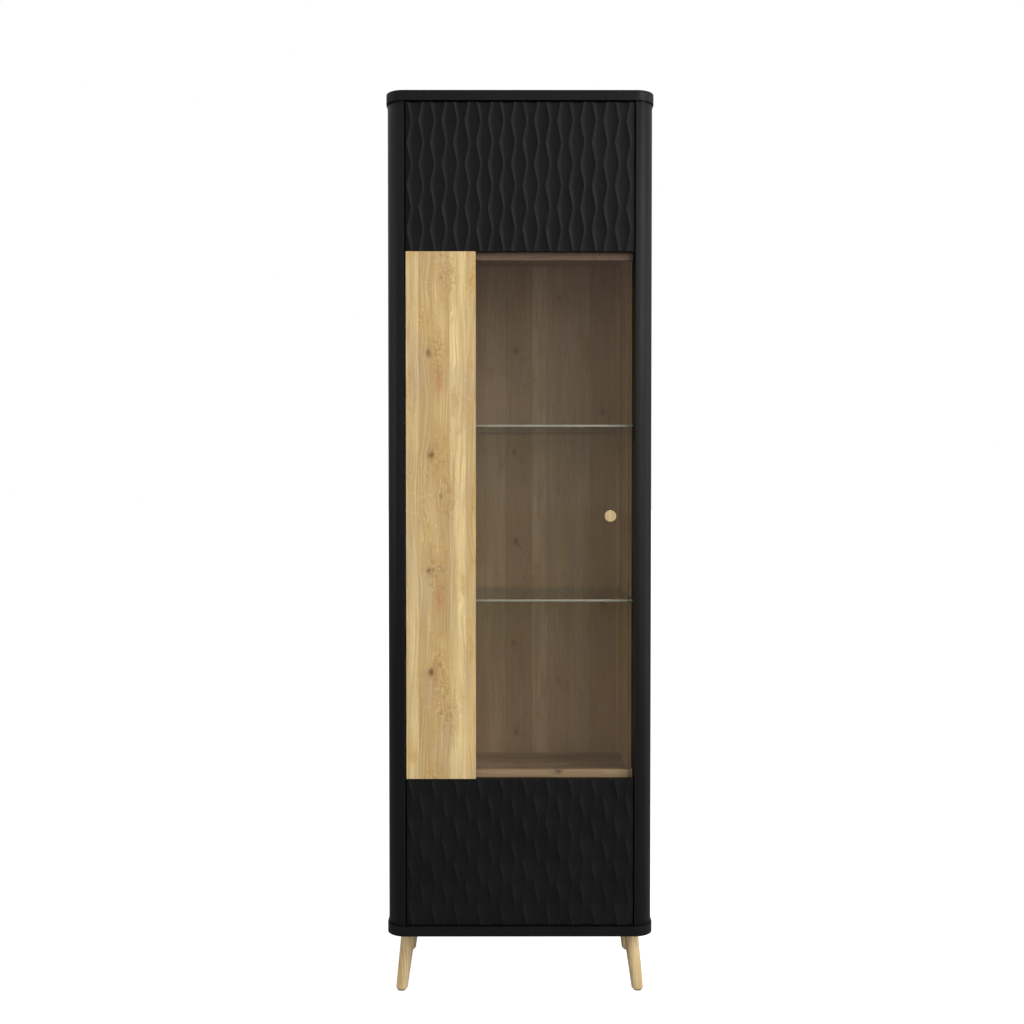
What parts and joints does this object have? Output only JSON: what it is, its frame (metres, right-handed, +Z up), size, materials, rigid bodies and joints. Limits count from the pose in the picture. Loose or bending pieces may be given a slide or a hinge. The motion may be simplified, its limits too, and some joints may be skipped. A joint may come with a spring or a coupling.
{
  "type": "tall display cabinet",
  "caption": "Tall display cabinet on four splayed legs: one full-height door with carved panels, an oak strip and a tinted pane, with glass shelves behind it.",
  "frame": {"origin": "on the floor under the middle of the overall box", "axes": "+Z up; the door faces -Y; +X is to the right of someone facing the door"},
  "size_m": [0.6, 0.385, 2.037],
  "materials": {
    "black_foil_mdf": "black micro-textured foil on MDF",
    "carved_black_mdf": "matt black membrane-pressed MDF with a carved wave relief",
    "oak_veneer": "light artisan oak, vertical planks with knots",
    "oak_decor_board": "oak decor on particle board",
    "oak_decor_hardboard": "oak decor on hardboard",
    "turned_oak": "turned solid oak, clear lacquer",
    "tinted_glass": "bronze-grey tinted pane",
    "clear_glass": "clear float glass with a green edge",
    "clear_plastic": "clear plastic",
    "soft_bumper": "soft grey rubber",
    "felt_glide": "dark hard plastic glide",
    "beech_dowel": "fluted beech",
    "cast_zinc": "cast zinc",
    "nickel_plated_steel": "nickel-plated pressed steel",
    "black_steel": "black powder-coated steel",
    "zinc_plated_steel": "zinc-plated steel"
  },
  "bodies": {
    "cabinet": {"back_panel": "oak_decor_hardboard", "back_panel_nails": "zinc_plated_steel", "bottom_panel": "black_foil_mdf", "cam_bolts": "zinc_plated_steel", "cam_locks": "cast_zinc", "confirmat_screws": "zinc_plated_steel", "door_bumpers": "soft_bumper", "fixed_shelf_lower": "oak_decor_board", "fixed_shelf_upper": "oak_decor_board", "front_post_left": "black_foil_mdf", "front_post_right": "black_foil_mdf", "glass_shelf_lower": "clear_glass", "glass_shelf_upper": "clear_glass", "hinge_arms": "nickel_plated_steel", "hinge_mounting_plates": "nickel_plated_steel", "hinge_pins": "nickel_plated_steel", "hinge_plate_screws": "zinc_plated_steel", "leg_back_left": "turned_oak", "leg_back_right": "turned_oak", "leg_front_left": "turned_oak", "leg_front_right": "turned_oak", "leg_glides": "felt_glide", "leg_hanger_bolts": "zinc_plated_steel", "leg_plate_screws": "zinc_plated_steel", "leg_plates": "black_steel", "shelf_pins_lower": "nickel_plated_steel", "shelf_pins_upper": "nickel_plated_steel", "side_inner_left": "oak_decor_board", "side_inner_right": "oak_decor_board", "side_outer_left": "black_foil_mdf", "side_outer_right": "black_foil_mdf", "top_panel": "black_foil_mdf", "wall_bracket": "black_steel", "wall_bracket_screws": "zinc_plated_steel", "wooden_dowels": "beech_dowel"},
    "door": {"door_panel_lower": "carved_black_mdf", "door_panel_upper": "carved_black_mdf", "door_oak_strip": "oak_veneer", "door_glass": "tinted_glass", "door_rail_lower": "oak_decor_board", "door_rail_upper": "oak_decor_board", "door_rail_screws": "zinc_plated_steel", "glass_clips": "clear_plastic", "glass_clip_screws": "zinc_plated_steel", "door_knob": "turned_oak", "knob_screw": "zinc_plated_steel", "knob_washers": "clear_plastic", "hinge_cups": "nickel_plated_steel", "hinge_cup_screws": "zinc_plated_steel"},
    "hinge_links": {"hinge_links": "nickel_plated_steel"}
  },
  "joints": [
    {"name": "door_hinge", "type": "hinge", "parent": "cabinet", "child": "door", "pos_m": [-0.254, -0.1845, 1.0935], "axis": [0, 0, -1], "range_deg": [0, 105]},
    {"name": "hinge_link_swing", "type": "hinge", "parent": "cabinet", "child": "hinge_links", "pos_m": [-0.24, -0.1575, 1.0935], "axis": [0, 0, -1], "range_deg": [0, 33]}
  ],
  "couplings": [
    {"joint": "hinge_link_swing", "follows": "door_hinge", "ratio": 0.3}
  ]
}
